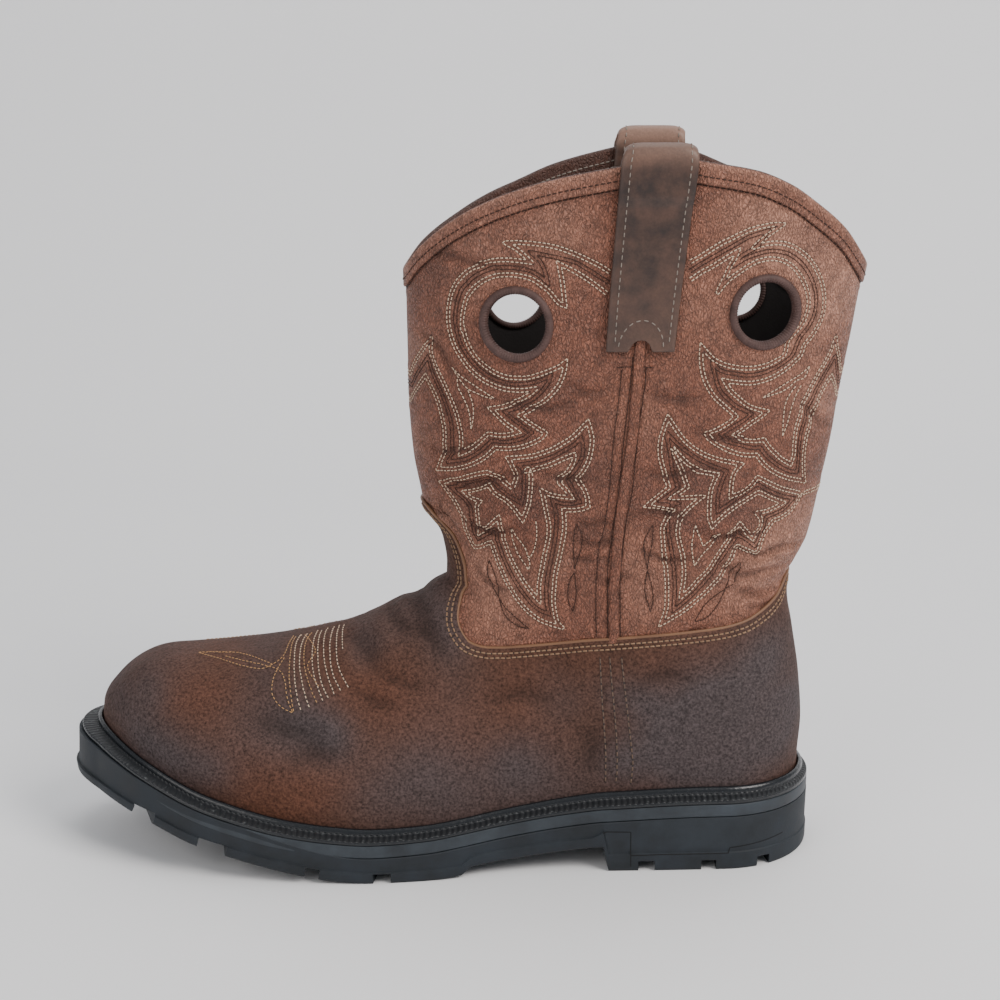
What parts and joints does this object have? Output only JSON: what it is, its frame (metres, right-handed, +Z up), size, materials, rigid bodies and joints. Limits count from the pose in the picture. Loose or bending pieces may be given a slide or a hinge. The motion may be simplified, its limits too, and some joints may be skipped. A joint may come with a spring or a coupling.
{
  "type": "boot",
  "caption": "Left pull-on western work boot: hollow leather upper with a scalloped collar, pull straps and pull holes, on a lugged rubber sole with a low heel.",
  "frame": {"origin": "on the floor under the sole, at the middle of the boot's length and width", "axes": "+X from toe to heel, +Y towards the inner (medial) side, +Z up the shaft"},
  "size_m": [0.3378, 0.1136, 0.3034],
  "materials": {
    "foot_leather": "oiled nubuck, worn",
    "strap_leather": "smooth, waxed",
    "binding_leather": "smooth, rolled edge",
    "ring_thread": "dense thread",
    "sole_rubber": "matt moulded",
    "band_rubber": "satin moulded",
    "insole_fabric": "matt cover"
  },
  "bodies": {
    "root": {"outsole": "sole_rubber", "midsole": "band_rubber", "welt": "sole_rubber", "insole": "insole_fabric", "upper": "foot_leather", "collar_binding": "binding_leather", "pull_strap_lateral": "strap_leather", "pull_strap_medial": "strap_leather", "pull_hole_ring_front_lateral": "ring_thread", "pull_hole_ring_rear_lateral": "ring_thread", "pull_hole_ring_front_medial": "ring_thread", "pull_hole_ring_rear_medial": "ring_thread"}
  },
  "joints": []
}
